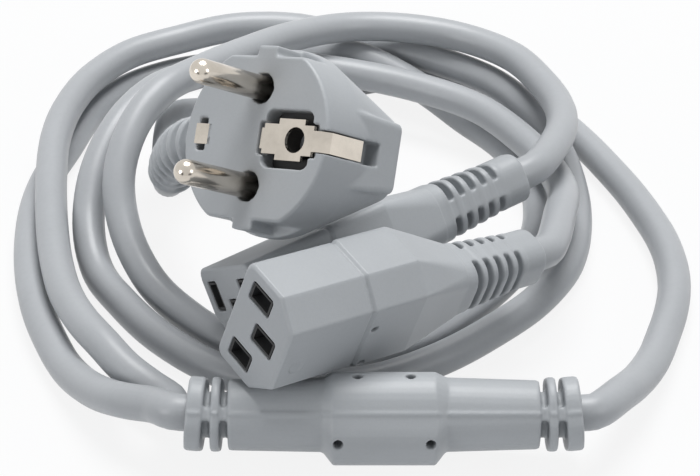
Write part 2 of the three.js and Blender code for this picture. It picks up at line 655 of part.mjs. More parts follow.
function spliceBlock() {
  const block = box(spliceBlockSize, [0, 0, 0]);
  const bores = [-1, 0, 1].map((row) => (
    post(crimpDiameter / 2 + fit, -20, 20, [row * crimpPitch, 0], 16).rotate([90, 0, 90])
  ));
  return cut(block, ...bores);
}

function crimp(row) {
  const outer = post(crimpDiameter / 2, -crimpLength / 2, crimpLength / 2, [row * crimpPitch, 0], 16);
  const inner = post(crimpBore / 2, -crimpLength, crimpLength, [row * crimpPitch, 0], 16);
  return cut(outer, inner).rotate([90, 0, 90]);
}

function addSplitter() {
  const group = new THREE.Group();
  group.position.set(...splitterPlace);
  group.rotation.x = THREE.MathUtils.degToRad(-splitterRoll);
  splitter.add(group);
  group.updateWorldMatrix(true, true);
  addMesh(group, 'splitter_body', splitterBody(), greyMoulding);
  addMesh(group, 'splice_block', spliceBlock(), paleBlock);
  const collarReach = splitterLength / 2 - collarPivot;
  const terminal = crimpLength / 2 + fit;
  wireNames.forEach((name, index) => {
    const row = index - 1;
    const y = row * crimpPitch;
    const colour = plastic(wireColours[name], 0.5);
    addMesh(group, `splice_crimp_${name}`, crimp(row), brass);
    const cords = { main: [1, 0, 0], front: [-1, branchSpacing / 2, 1], rear: [-1, -branchSpacing / 2, -1] };
    for (const [cord, [sign, axis, layer]] of Object.entries(cords)) {
      const spotY = axis + row * wireSpread * 0.87;
      const spotZ = wireSpread * (row === 0 ? 1 : -0.5) * (layer === 0 ? 1 : layer);
      const points = [
        [sign * terminal, y, layer * 0.95], [sign * (spliceBlockSize[0] / 2), y, layer * 0.95],
        [sign * 14, (y + spotY) / 2, layer * 1.7], [sign * 19, spotY, spotZ],
        [sign * 27, spotY, spotZ], [sign * (collarPivot - 1), spotY, spotZ],
        raised(collarPoint(sign, collarReach - wireDiameter, spotY), spotZ),
      ];
      addMesh(group, `splitter_wire_${cord}_${name}`, tube(points, wireDiameter * 0.9, wireSides, 12), colour);
    }
  });
  return group;
}

// Free cords, from moulding to moulding
function addCord(name, start, startNext, route, endNext, end) {
  const points = [start, startNext, ...route, endNext, end];
  const curve = new THREE.CatmullRomCurve3(points.map((p) => new THREE.Vector3(...p)), false, 'centripetal');
  const steps = Math.round(curve.getLength() / (cordDiameter * 3));
  addMesh(splitter, name, tube(points, cordDiameter, cordSides, steps), greySheath);
}

const junction = addSplitter();
const frontConnector = addConnector('front_connector', frontConnectorPose);
const rearConnector = addConnector('rear_connector', rearConnectorPose);
const plug = addPlug();

const lead = 5;   // straight run of cord where it leaves a moulding
const collarMouth = splitterLength / 2 - collarPivot + fit;
const splitterExit = (sign, offset, run) => worldPoint(junction, collarPoint(sign, collarMouth + run, offset));
const connectorExit = (group, z) => worldPoint(group, [0, 0, -connectorLength - fit - z]);
const plugExit = (run) => {
  const spot = plugReliefPath.getPointAt(1).addScaledVector(plugReliefPath.getTangentAt(1), fit + run);
  return worldPoint(plug, spot.toArray());
};

addCord('main_cord', splitterExit(1, 0, 0), splitterExit(1, 0, 2.5),
  mainRoute, plugExit(lead), plugExit(0));
addCord('front_branch_cord', connectorExit(frontConnector, 0), connectorExit(frontConnector, lead),
  frontRoute, splitterExit(-1, branchSpacing / 2, 2.5), splitterExit(-1, branchSpacing / 2, 0));
addCord('rear_branch_cord', connectorExit(rearConnector, 0), connectorExit(rearConnector, lead),
  rearRoute, splitterExit(-1, -branchSpacing / 2, 2.5), splitterExit(-1, -branchSpacing / 2, 0));

export default splitter;
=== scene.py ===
import json
import math
import bmesh
import bpy
from mathutils import Matrix, Vector

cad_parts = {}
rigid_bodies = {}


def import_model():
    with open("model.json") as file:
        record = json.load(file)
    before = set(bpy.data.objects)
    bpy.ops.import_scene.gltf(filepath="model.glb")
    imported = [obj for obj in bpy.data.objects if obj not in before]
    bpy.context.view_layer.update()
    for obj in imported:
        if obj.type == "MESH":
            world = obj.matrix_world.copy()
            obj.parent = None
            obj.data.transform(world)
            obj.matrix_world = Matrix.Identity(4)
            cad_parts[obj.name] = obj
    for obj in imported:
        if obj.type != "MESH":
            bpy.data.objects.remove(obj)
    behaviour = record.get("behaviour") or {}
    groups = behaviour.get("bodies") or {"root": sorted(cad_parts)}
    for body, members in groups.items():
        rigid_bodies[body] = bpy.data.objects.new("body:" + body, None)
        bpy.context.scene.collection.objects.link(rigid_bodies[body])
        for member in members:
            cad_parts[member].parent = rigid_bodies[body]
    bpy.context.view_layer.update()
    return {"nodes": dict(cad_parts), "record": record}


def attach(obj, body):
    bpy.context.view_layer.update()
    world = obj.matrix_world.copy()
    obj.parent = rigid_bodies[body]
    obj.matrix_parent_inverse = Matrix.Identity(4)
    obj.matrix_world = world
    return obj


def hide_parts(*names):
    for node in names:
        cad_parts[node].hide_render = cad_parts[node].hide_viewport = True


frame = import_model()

scene = bpy.context.scene
mm = 0.001
nodes = frame["nodes"]
print("frame loaded:", len(nodes), "pieces")

# Camera at the photograph's place

cameraSetup = {"place": (-0.0067, -0.3544, 0.2821), "pitch": 57.0, "lens": 121.06, "sensor": 36.0}


def makeCamera():
    data = bpy.data.cameras.new("camera")
    data.lens = cameraSetup["lens"]
    data.sensor_width = cameraSetup["sensor"]
    data.clip_start = 0.01
    camera = bpy.data.objects.new("camera", data)
    camera.location = cameraSetup["place"]
    camera.rotation_euler = (math.radians(cameraSetup["pitch"]), 0, 0)
    scene.collection.objects.link(camera)
    scene.camera = camera


makeCamera()
print("camera placed")

# Finishes: every one is procedural and reads Object coordinates, in metres


def newMaterial(name):
    material = bpy.data.materials.new(name)
    material.use_nodes = True
    tree = material.node_tree
    shader = tree.nodes["Principled BSDF"]
    coords = tree.nodes.new("ShaderNodeTexCoord")
    return material, tree, shader, coords.outputs["Object"]


def noise(tree, coords, scale, detail=3.0, roughness=0.55):
    node = tree.nodes.new("ShaderNodeTexNoise")
    node.inputs["Scale"].default_value = scale
    node.inputs["Detail"].default_value = detail
    node.inputs["Roughness"].default_value = roughness
    tree.links.new(coords, node.inputs["Vector"])
    return node.outputs["Fac"]


def ramp(tree, value, stops):
    node = tree.nodes.new("ShaderNodeValToRGB")
    elements = node.color_ramp.elements
    while len(elements) < len(stops):
        elements.new(0.5)
    for element, (place, colour) in zip(elements, stops):
        element.position = place
        element.color = colour if len(colour) == 4 else (*colour, 1)
    tree.links.new(value, node.inputs["Fac"])
    return node.outputs["Color"]


def mapRange(tree, value, low, high):
    node = tree.nodes.new("ShaderNodeMapRange")
    node.inputs["To Min"].default_value = low
    node.inputs["To Max"].default_value = high
    tree.links.new(value, node.inputs["Value"])
    return node.outputs["Result"]


# of a Mix node's sockets, inputs 6 and 7 and output 2 are the colours
def mixColour(tree, kind, factor, first, second):
    node = tree.nodes.new("ShaderNodeMix")
    node.data_type = "RGBA"
    node.blend_type = kind
    if isinstance(factor, float):
        node.inputs["Factor"].default_value = factor
    else:
        tree.links.new(factor, node.inputs["Factor"])
    tree.links.new(first, node.inputs[6])
    if isinstance(second, tuple):
        node.inputs[7].default_value = (*second, 1)
    else:
        tree.links.new(second, node.inputs[7])
    return node.outputs[2]


def addBump(tree, shader, height, strength, distance, under=None):
    node = tree.nodes.new("ShaderNodeBump")
    node.inputs["Strength"].default_value = strength
    node.inputs["Distance"].default_value = distance
    tree.links.new(height, node.inputs["Height"])
    if under is not None:
        tree.links.new(under, node.inputs["Normal"])
    tree.links.new(node.outputs["Normal"], shader.inputs["Normal"])
    return node.outputs["Normal"]


def plasticFinish(name, base, rough, grain, depth, mottle=0.06):
    material, tree, shader, coords = newMaterial(name)
    shader.inputs["Specular IOR Level"].default_value = 0.42
    shader.inputs["IOR"].default_value = 1.5
    broad = noise(tree, coords, 45, 4)
    dark = tuple(c * (1 - mottle) for c in base)
    light = tuple(min(1, c * (1 + mottle)) for c in base)
    colour = ramp(tree, broad, [(0.32, dark), (0.5, base), (0.7, light)])
    fine = noise(tree, coords, 0.55 / grain, 2)
    specks = ramp(tree, fine, [(0.3, (0.93,) * 3), (0.6, (1,) * 3)])
    colour = mixColour(tree, "MULTIPLY", 0.35, colour, specks)
    tree.links.new(colour, shader.inputs["Base Color"])
    smudge = noise(tree, coords, 110, 5, 0.65)
    tree.links.new(mapRange(tree, smudge, rough[0], rough[1]), shader.inputs["Roughness"])
    under = addBump(tree, shader, broad, 0.12, 0.0004)  # slow waves of the moulded skin
    addBump(tree, shader, noise(tree, coords, 1 / grain, 2), depth, 0.00006, under)  # fine grain
    return material


def metalFinish(name, base, rough, streak):
    material, tree, shader, coords = newMaterial(name)
    shader.inputs["Metallic"].default_value = 1.0
    tint = noise(tree, coords, 160, 4)
    dark = tuple(c * 0.84 for c in base)
    tree.links.new(ramp(tree, tint, [(0.35, dark), (0.65, base)]), shader.inputs["Base Color"])
    stretch = tree.nodes.new("ShaderNodeMapping")
    stretch.inputs["Scale"].default_value = streak
    tree.links.new(coords, stretch.inputs["Vector"])
    lines = noise(tree, stretch.outputs["Vector"], 900, 3)
    tree.links.new(mapRange(tree, lines, rough[0], rough[1]), shader.inputs["Roughness"])
    addBump(tree, shader, lines, 0.05, 0.00005)
    return material


def wireFinish(name, base, stripe=None):
    material, tree, shader, coords = newMaterial(name)
    tone = noise(tree, coords, 300, 2)
    colour = ramp(tree, tone, [(0.3, tuple(c * 0.9 for c in base)), (0.7, base)])
    if stripe:
        band = tree.nodes.new("ShaderNodeTexWave")
        band.inputs["Scale"].default_value = 260
        tree.links.new(coords, band.inputs["Vector"])
        mask = ramp(tree, band.outputs["Fac"], [(0.48, (0,) * 3), (0.52, (1,) * 3)])
        colour = mixColour(tree, "MIX", mask, colour, stripe)
    tree.links.new(colour, shader.inputs["Base Color"])
    tree.links.new(mapRange(tree, tone, 0.28, 0.4), shader.inputs["Roughness"])
    addBump(tree, shader, noise(tree, coords, 4000, 2), 0.1, 0.00003)
    return material


finishes = {  # plastic: colour, roughness from and to, grain size in metres, grain depth, mottle
    "grey_moulding": plasticFinish(
        "moulded grey", (0.395, 0.413, 0.43), (0.36, 0.5), 0.00032, 0.28, 0.035),
    "grey_sheath": plasticFinish(
        "cord sheath grey", (0.40, 0.415, 0.432), (0.3, 0.42), 0.0006, 0.1, 0.03),
    "dark_insert": plasticFinish("dark insert", (0.03, 0.03, 0.031), (0.5, 0.65), 0.0004, 0.3),
    "pale_block": plasticFinish("splice block", (0.68, 0.66, 0.62), (0.5, 0.65), 0.0005, 0.2),
    "plated_metal": metalFinish("nickel plate", (0.74, 0.68, 0.6), (0.13, 0.26), (1, 1, 0.15)),
    # painted shade: near-black metal on the contacts and sockets stands in for the shade deep in their
    # slots
    "shaded_metal": metalFinish(
        "dull spring metal", (0.09, 0.085, 0.08), (0.5, 0.65), (1, 1, 0.2)),
    "brass": metalFinish("pressed brass", (0.72, 0.55, 0.28), (0.25, 0.4), (1, 1, 0.2)),
    "brown_insulation": wireFinish("brown insulation", (0.11, 0.045, 0.02)),
    "blue_insulation": wireFinish("blue insulation", (0.04, 0.13, 0.4)),
    "green_yellow_insulation": wireFinish(
        "green and yellow insulation", (0.5, 0.5, 0.03), (0.04, 0.25, 0.05)),
}
for part in frame["record"]["subparts"]:
    mesh = nodes[part["node"]].data
    # contacts and sockets get the near-black metal, painted shade for their slots
    shade_painted = "_contact_" in part["node"] or part["node"].endswith("_socket")  # deep in their slots
    mesh.materials.clear()
    mesh.materials.append(finishes["shaded_metal" if shade_painted else part["material_slot"]])
print("finishes made:", len(finishes))

# Mesh tools: shapes are in a moulding's own millimetres until they are placed


def poseMatrix(place, turn, tilt, roll):  # Z of the piece ends up level, then tilted up
    return (
        Matrix.Translation(Vector(place) * mm)
        @ Matrix.Rotation(math.radians(turn), 4, "Z")
        @ Matrix.Rotation(math.radians(90 - tilt), 4, "Y")
        @ Matrix.Rotation(math.radians(roll), 4, "Z")
    )


def roundedOutline(halfX, halfY, radius, steps=8, centre=(0, 0)):
    points = []
    for sx, sy, start in ((1, 1, 0), (-1, 1, 90), (-1, -1, 180), (1, -1, 270)):
        for i in range(steps + 1):
            a = math.radians(start + 90 * i / steps)
            x = sx * (halfX - radius) + radius * math.cos(a)
            y = sy * (halfY - radius) + radius * math.sin(a)
            points.append((x + centre[0], y + centre[1]))
    return points


def circleOutline(radius, sides=64, centre=(0, 0)):
    turns = [2 * math.pi * i / sides for i in range(sides)]
    return [(radius * math.cos(a) + centre[0], radius * math.sin(a) + centre[1]) for a in turns]


def hull(rings):
    bm = bmesh.new()
    for outline, height in rings:
        for x, y in outline:
            bm.verts.new((x, y, height))
    bmesh.ops.convex_hull(bm, input=bm.verts)
    loose = [v for v in bm.verts if not v.link_faces]
    bmesh.ops.delete(bm, geom=loose, context="VERTS")
    bmesh.ops.recalc_face_normals(bm, faces=bm.faces)
    return bm


def slab(outline, low, high):
    bm = bmesh.new()
    face = bm.faces.new([bm.verts.new((x, y, low)) for x, y in outline])
    made = bmesh.ops.extrude_face_region(bm, geom=[face])
    top = [v for v in made["geom"] if isinstance(v, bmesh.types.BMVert)]
    bmesh.ops.translate(bm, vec=(0, 0, high - low), verts=top)
    bmesh.ops.recalc_face_normals(bm, faces=bm.faces)
    return bm


def block(low, high):
    corners = [(low[0], low[1]), (high[0], low[1]), (high[0], high[1]), (low[0], high[1])]
    return slab(corners, low[2], high[2])


def moved(bm, matrix):
    bm.transform(matrix)
    return bm


def lengthwise(bm):  # Z to X, X to Y and Y to Z
    return moved(bm, Matrix(((0, 0, 1, 0), (1, 0, 0, 0), (0, 1, 0, 0), (0, 0, 0, 1))))


def joined(name, shapes):
    mesh = bpy.data.meshes.new(name)
    whole = bmesh.new()
    for shape in shapes:
        part = bpy.data.meshes.new(name)
        shape.to_mesh(part)
        shape.free()
        whole.from_mesh(part)
        bpy.data.meshes.remove(part)
    whole.to_mesh(mesh)
    whole.free()
    obj = bpy.data.objects.new(name, mesh)
    scene.collection.objects.link(obj)
    return obj


def plainMesh(obj, helpers):
    bpy.context.view_layer.update()
    graph = bpy.context.evaluated_depsgraph_get()
    result = bpy.data.meshes.new_from_object(obj.evaluated_get(graph))
    old = obj.data
    obj.modifiers.clear()
    obj.data = result
    if old.users == 0:
        bpy.data.batch_remove([old])
    for helper in helpers:
        bpy.data.objects.remove(helper)


def skin(name, solids, cutters, voxel, passes):  # one soft shell over the solids, then cut
    body = joined(name, solids)
    shell = body.modifiers.new("shell", "REMESH")
    shell.mode = "VOXEL"
    shell.voxel_size = voxel
    helpers = []
    for i, cutter in enumerate(cutters):
        tool = joined(name + "_cut" + str(i), [cutter])
        difference = body.modifiers.new("cut" + str(i), "BOOLEAN")
        difference.operation = "DIFFERENCE"
        difference.solver = "MANIFOLD"
        difference.object = tool
        helpers.append(tool)
    again = body.modifiers.new("again", "REMESH")
    again.mode = "VOXEL"
    again.voxel_size = voxel
    soften = body.modifiers.new("soften", "SMOOTH")
    soften.factor = 0.5
    soften.iterations = passes
    plainMesh(body, helpers)
    return body


def placePiece(obj, matrix, finish):
    obj.data.transform(matrix @ Matrix.Scale(mm, 4))
    obj.data.materials.clear()
    obj.data.materials.append(finishes[finish])
    obj.data.polygons.foreach_set("use_smooth", [True] * len(obj.data.polygons))
    obj.data.update()
    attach(obj, "root")


# Ribs of a strain relief, set along a path by Geometry Nodes


def ribTree():
    tree = bpy.data.node_groups.new("reliefRibs", "GeometryNodeTree")
    sockets = tree.interface
    sockets.new_socket(name="Path", in_out="INPUT", socket_type="NodeSocketGeometry")
    sockets.new_socket(name="Rib", in_out="INPUT", socket_type="NodeSocketObject")
    sockets.new_socket(name="Ribs", in_out="INPUT", socket_type="NodeSocketInt")
    sockets.new_socket(name="First Size", in_out="INPUT", socket_type="NodeSocketFloat")
    sockets.new_socket(name="Last Size", in_out="INPUT", socket_type="NodeSocketFloat")
    sockets.new_socket(name="Finish", in_out="INPUT", socket_type="NodeSocketMaterial")
    sockets.new_socket(name="Ribs Made", in_out="OUTPUT", socket_type="NodeSocketGeometry")
    new = tree.nodes.new
    link = tree.links.new
    given = new("NodeGroupInput")
    points = new("GeometryNodeCurveToPoints")
    points.mode = "COUNT"
    link(given.outputs["Path"], points.inputs["Curve"])
    link(given.outputs["Ribs"], points.inputs["Count"])
    index = new("GeometryNodeInputIndex")
    last = new("ShaderNodeMath")
    last.operation = "SUBTRACT"
    last.inputs[1].default_value = 1
    link(given.outputs["Ribs"], last.inputs[0])
    size = new("ShaderNodeMapRange")
    link(index.outputs["Index"], size.inputs["Value"])
    link(last.outputs[0], size.inputs["From Max"])
    link(given.outputs["First Size"], size.inputs["To Min"])
    link(given.outputs["Last Size"], size.inputs["To Max"])
    scale = new("ShaderNodeCombineXYZ")
    link(size.outputs["Result"], scale.inputs["X"])
    link(size.outputs["Result"], scale.inputs["Y"])
    scale.inputs["Z"].default_value = 1
    rib = new("GeometryNodeObjectInfo")
    link(given.outputs["Rib"], rib.inputs["Object"])
    place = new("GeometryNodeInstanceOnPoints")
    link(points.outputs["Points"], place.inputs["Points"])
    link(points.outputs["Rotation"], place.inputs["Rotation"])
    link(rib.outputs["Geometry"], place.inputs["Instance"])
    link(scale.outputs["Vector"], place.inputs["Scale"])
    real = new("GeometryNodeRealizeInstances")
    link(place.outputs["Instances"], real.inputs["Geometry"])
    paint = new("GeometryNodeSetMaterial")
    link(real.outputs["Geometry"], paint.inputs["Geometry"])
    link(given.outputs["Finish"], paint.inputs["Material"])
    out = new("NodeGroupOutput")
    link(paint.outputs["Geometry"], out.inputs["Ribs Made"])
    return tree


ribNodes = ribTree()


def polyCurve(name, points):
    data = bpy.data.curves.new(name, "CURVE")
    data.dimensions = "3D"
    spline = data.splines.new("POLY")
    spline.points.add(len(points) - 1)
    for spot, place in zip(spline.points, points):
        spot.co = (*place, 1)
    obj = bpy.data.objects.new(name, data)
    scene.collection.objects.link(obj)
    return obj


def shrunk(outline, share):
    return [(x * share, y * share) for x, y in outline]


def ribShapes(points, outline, thickness, count, firstSize, lastSize):
    rim = shrunk(outline, 0.96)
    half = thickness / 2
    edge = 0.25
    rings = [(rim, -half), (outline, -half + edge), (outline, half - edge), (rim, half)]
    rib = joined("rib", [hull(rings)])
    path = polyCurve("ribPath", points)
    modifier = path.modifiers.new("ribs", "NODES")
    modifier.node_group = ribNodes
    given = {
        "Rib": rib, "Ribs": count, "First Size": firstSize, "Last Size": lastSize,
        "Finish": finishes["grey_moulding"],
    }
    for socket in ribNodes.interface.items_tree:
        if socket.in_out == "INPUT" and socket.name in given:
            modifier[socket.identifier] = given[socket.name]
    bpy.context.view_layer.update()
    graph = bpy.context.evaluated_depsgraph_get()
    mesh = bpy.data.meshes.new_from_object(path.evaluated_get(graph))
    shape = bmesh.new()
    shape.from_mesh(mesh)
    bpy.data.meshes.remove(mesh)
    bpy.data.objects.remove(path)
    bpy.data.objects.remove(rib)
    bmesh.ops.recalc_face_normals(shape, faces=shape.faces)
    return shape


# A smooth line through a list of points, the same as the cords' routes in the part


def smoothLine(points, step):
    spots = [Vector(p) for p in points]
    ends = [spots[0] * 2 - spots[1], spots[-1] * 2 - spots[-2]]
    spots = [ends[0], *spots, ends[1]]
    line = []
    for before, start, stop, after in zip(spots, spots[1:], spots[2:], spots[3:]):
        pairs = ((before, start), (start, stop), (stop, after))
        first, gap, last = [max((b - a).length ** 0.5, 1e-9) for a, b in pairs]
        leave = ((start - before) / first - (stop - before) / (first + gap)) + (stop - start) / gap
        meet = ((stop - start) / gap - (after - start) / (gap + last)) + (after - stop) / last
        leave, meet = leave * gap, meet * gap
        pieces = max(2, round((stop - start).length / step))
        for i in range(pieces):
            t = i / pieces
            line.append(
                start * (2 * t**3 - 3 * t**2 + 1) + leave * (t**3 - 2 * t**2 + t)
                + stop * (3 * t**2 - 2 * t**3) + meet * (t**3 - t**2)
            )
    line.append(spots[-2].copy())
    return line


def lineLength(line):
    return sum((b - a).length for a, b in zip(line, line[1:]))


def alongLine(line, distance):
    for a, b in zip(line, line[1:]):
        step = (b - a).length
        if distance <= step:
            return a.lerp(b, distance / step), (b - a).normalized()
        distance -= step
    return line[-1].copy(), (line[-1] - line[-2]).normalized()


def tubeShape(line, radius, sides=24):
    bm = bmesh.new()
    rings = []
    side = Vector((1, 0, 0.01))
    turns = [2 * math.pi * k / sides for k in range(sides)]
    for i, spot in enumerate(line):
        ahead = (line[min(i + 1, len(line) - 1)] - line[max(i - 1, 0)]).normalized()
        side = (side - ahead * side.dot(ahead)).normalized()
        other = ahead.cross(side)
        ring = [spot + (side * math.cos(a) + other * math.sin(a)) * radius for a in turns]
        rings.append([bm.verts.new(place) for place in ring])
    for low, high in zip(rings, rings[1:]):
        for k in range(sides):
            bm.faces.new((low[k], low[(k + 1) % sides], high[(k + 1) % sides], high[k]))
    bm.faces.new(rings[0][::-1])
    bm.faces.new(rings[-1])
    bmesh.ops.recalc_face_normals(bm, faces=bm.faces)
    return bm


# Moulded junction, along X in its own parting frame

junction = {
    "place": (-0.3, 1.0, 11.4), "roll": -38, "length": 74.0,
    "width": 19.0, "singleWidth": 15.4,
    "leftEnd": 13.4, "middle": 14.2, "rightEnd": 13.0,  # thickness of the tapering body
    "middleReach": 8, "bodyCorner": 6, "bodyEdge": 0.4,
    "bulgeLength": 23.0, "bulgeWidth": 21.4, "above": 8.0, "below": 9.5, "shoulder": 1.9,
    "bulgeCorner": 6.6,
    "thickness": 13.6, "ringRise": 0.2, "ringCorner": 5.6, "ringEdge": 0.35,  # slit end rings
    "collar": 3.1, "disc": 1.7, "slit": 1.5, "neck": 8.6, "neckInset": 5.4, "web": 2.4, "webInset": 0.6,
    "discFlex": 2, "collarFlex": 5,
    "spacing": 7.7, "ridge": 0.25, "ridgeHalf": 0.25,  # cords' pitch and the parting line
    "hole": 1.9, "holeDepth": 4.0, "topHoles": 9.9, "topHoleLean": 28,
    "sideHoles": 17.2, "sideHoleDepth": 2.5, "holeAngle": 120,
    "cordHole": 3.55, "cordHoleDepth": 0.9,
    "voxel": 0.27, "passes": 2,
}
junctionPose = (
    Matrix.Translation(Vector(junction["place"]) * mm)
    @ Matrix.Rotation(math.radians(junction["roll"]), 4, "X")
)
collarPivot = junction["length"] / 2 - junction["collar"] - junction["slit"] / 2


def station(outline, low, high):
    return lengthwise(slab(outline, low, high))


def bent(bm, sign, pivot, degrees):
    here = Vector((sign * pivot, 0, 0))
    turn = Matrix.Rotation(math.radians(-sign * degrees), 4, "Y")
    return moved(bm, Matrix.Translation(here) @ turn @ Matrix.Translation(-here))


def collarPoint(sign, distance, offset):  # on the bent collar's middle line
    flex = math.radians(junction["collarFlex"])
    along = sign * (collarPivot + distance * math.cos(flex))
    return Vector((along, offset, distance * math.sin(flex)))


def softStation(outline, low, high):
    edge = junction["ringEdge"]
    rim = shrunk(outline, 0.965)
    return lengthwise(hull([(rim, low), (outline, low + edge), (outline, high - edge), (rim, high)]))


def endRings(sign, width):
    j = junction
    end = j["length"] / 2
    outline = roundedOutline(width / 2, j["thickness"] / 2 + j["ringRise"], j["ringCorner"])
    inner = roundedOutline((width - j["neckInset"]) / 2, j["neck"] / 2, j["neck"] / 2 - 0.1)
    first = end - j["collar"] - j["slit"]
    discPivot = first - j["disc"] - j["slit"] / 2
    start = first - j["disc"] - j["slit"] - 0.5  # a little inside the body
    half = j["ridgeHalf"]

    def place(low, high):
        return (low, high) if sign > 0 else (-high, -low)

    def web(low, high):
        low, high = place(low, high)
        reach = width / 2 - j["webInset"]
        return block((low, -reach, -j["web"] / 2), (high, reach, j["web"] / 2))

    def flash(low, high):
        low, high = place(low + 0.2, high - 0.2)
        return block((low, -width / 2 - j["ridge"], -half), (high, width / 2 + j["ridge"], half))

    def collarBent(bm):
        return bent(bm, sign, collarPivot, j["collarFlex"])

    def discBent(bm):
        return bent(bm, sign, discPivot, j["discFlex"])

    return [
        collarBent(softStation(outline, *place(end - j["collar"], end))),
        collarBent(flash(end - j["collar"], end)),
        discBent(flash(first - j["disc"], first)),
        collarBent(station(inner, *place(collarPivot - 0.3, end - 0.5))),
        collarBent(web(collarPivot - 0.3, end - 0.5)),
        discBent(softStation(outline, *place(first - j["disc"], first))),
        station(inner, *place(start, collarPivot + 0.6)),
        web(start, collarPivot + 0.3),
    ]


def partingRidge(bodyEnd, half):
    j = junction
    body = j["width"] / 2 + j["ridge"]
    bulge = j["bulgeWidth"] / 2 + j["ridge"]
    single = j["singleWidth"] / 2 + j["ridge"]
    edge = [
        (-bodyEnd, body), (-half, body), (-half + j["shoulder"], bulge), (half - j["shoulder"], bulge),
        (half, body - 0.2), (bodyEnd, single),
    ]
    outline = [(x, -y) for x, y in edge] + edge[::-1]
    return slab(outline, -j["ridgeHalf"], j["ridgeHalf"])


def makeJunction():
    j = junction
    bodyEnd = j["length"] / 2 - j["collar"] - 2 * j["slit"] - j["disc"]
    left = roundedOutline(j["width"] / 2, j["leftEnd"] / 2, j["bodyCorner"])
    wide = roundedOutline(j["width"] / 2, j["middle"] / 2, j["bodyCorner"])
    narrow = roundedOutline(j["singleWidth"] / 2, j["rightEnd"] / 2, j["bodyCorner"])
    body = lengthwise(hull([
        (shrunk(left, 0.97), -bodyEnd), (left, -bodyEnd + j["bodyEdge"]),
        (wide, -j["middleReach"]), (wide, j["middleReach"]),
        (narrow, bodyEnd - j["bodyEdge"]), (shrunk(narrow, 0.97), bodyEnd),
    ]))
    lift = (j["above"] - j["below"]) / 2
    half = j["bulgeLength"] / 2
    bulgeHigh = (j["above"] + j["below"]) / 2
    bulgeOutline = roundedOutline(j["bulgeWidth"] / 2, bulgeHigh, j["bulgeCorner"], centre=(0, lift))
    bulge = lengthwise(hull([
        (wide, -half), (bulgeOutline, -half + j["shoulder"]),
        (bulgeOutline, half - j["shoulder"]), (wide, half),
    ]))
    solids = [
        body, bulge, partingRidge(bodyEnd, half),
        *endRings(-1, j["width"]), *endRings(1, j["singleWidth"]),
    ]
    cutters = []
    for side in (-1, 1):
        drill = circleOutline(j["hole"] / 2, 24)
        top = slab(drill, j["bulgeCorner"] - j["holeDepth"], j["bulgeCorner"] + 3)
        top = moved(top, Matrix.Rotation(math.radians(j["topHoleLean"]), 4, "X"))
        corner = (j["bulgeCorner"] - j["bulgeWidth"] / 2, j["above"] - j["bulgeCorner"])
        cutters.append(moved(top, Matrix.Translation((side * j["topHoles"] / 2, *corner))))
        low = slab(drill, j["below"] - j["sideHoleDepth"], j["below"] + 4)
        low = moved(low, Matrix.Rotation(math.radians(j["holeAngle"]), 4, "X"))
        cutters.append(moved(low, Matrix.Translation((side * j["sideHoles"] / 2, 0, 0))))
    cordBore = slab(circleOutline(j["cordHole"], 32), -j["cordHoleDepth"], 2)
    mouths = [(1, 0), (-1, j["spacing"] / 2), (-1, -j["spacing"] / 2)]
    for sign, offset in mouths:
        spot = collarPoint(sign, j["length"] / 2 - collarPivot, offset)
        turn = Matrix.Rotation(math.radians(-sign * j["collarFlex"]), 4, "Y")
        along = Matrix.Translation(spot) @ turn @ Matrix.Rotation(math.radians(90 * sign), 4, "Y")
        cutters.append(moved(cordBore.copy(), along))
    cordBore.free()
    piece = skin("junctionMoulding", solids, cutters, j["voxel"], j["passes"])
    placePiece(piece, junctionPose, "grey_moulding")
    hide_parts("splitter_body")


makeJunction()
print("junction made")

# Appliance connectors, face at Z 0 and cord towards -Z

connector = {
    "front": {"place": (-23.9, -2.3, 32.3), "turn": 220, "tilt": 10, "roll": -15.5},
    "rear": {"place": (-29.5, 28.5, 17.7), "turn": 215, "tilt": -4, "roll": -58},
    "long": 23.0, "short": 16.0, "chamferLong": 4.6, "chamferShort": 5.4, "corner": 1.6, "edge": 0.5,
    "nose": 19.6, "seam": 0.55, "seamDepth": 0.5, "step": 0.25,
    "bodyEnd": 33.0, "neck": 47.0, "neckLong": 14.0, "neckShort": 12.4, "neckCorner": 4.2,
    "length": 70.3, "reliefCore": 8.0, "rib": 1.55, "ribs": 6, "firstRib": 49.4, "lastRib": 64.2,
    "rootSize": 12.6, "rootCorner": 4.4, "endSize": 10.6, "endCorner": 4.2,
    "strip": 3.8, "stripInset": 0.15, "tailFrom": 64.4,
    "slots": ((7, -2), (-7, -2), (0, 2)), "slotFrame": (4.1, 6.4), "slotDepth": 3,
    "markHole": (1.1, 1.7), "markDepth": 3.2, "holeSpots": (-2.1, 6.7), "holeBack": 2.2,
    "stud": {"radius": 1.6, "depth": 0.35, "spot": (2.4, 4.4)},  # round dimple on the nose
    "cordHole": 3.55, "cordHoleDepth": 1.2,
    "voxel": 0.25, "passes": 2,
}


def faceOutline(grow=0.0):
    c = connector
    x, y, r = c["long"] / 2 + grow, c["short"] / 2 + grow, c["corner"]
    cx, cy = c["chamferLong"], c["chamferShort"]
    points = [(x - cx, y), (-x + cx, y), (-x, y - cy)]
    for side, start in ((-1, 180), (1, 270)):
        for i in range(5):
            a = math.radians(start + 90 * i / 4)
            points.append((side * (x - r) + r * math.cos(a), -y + r + r * math.sin(a)))
    points.append((x, y - cy))
    return points


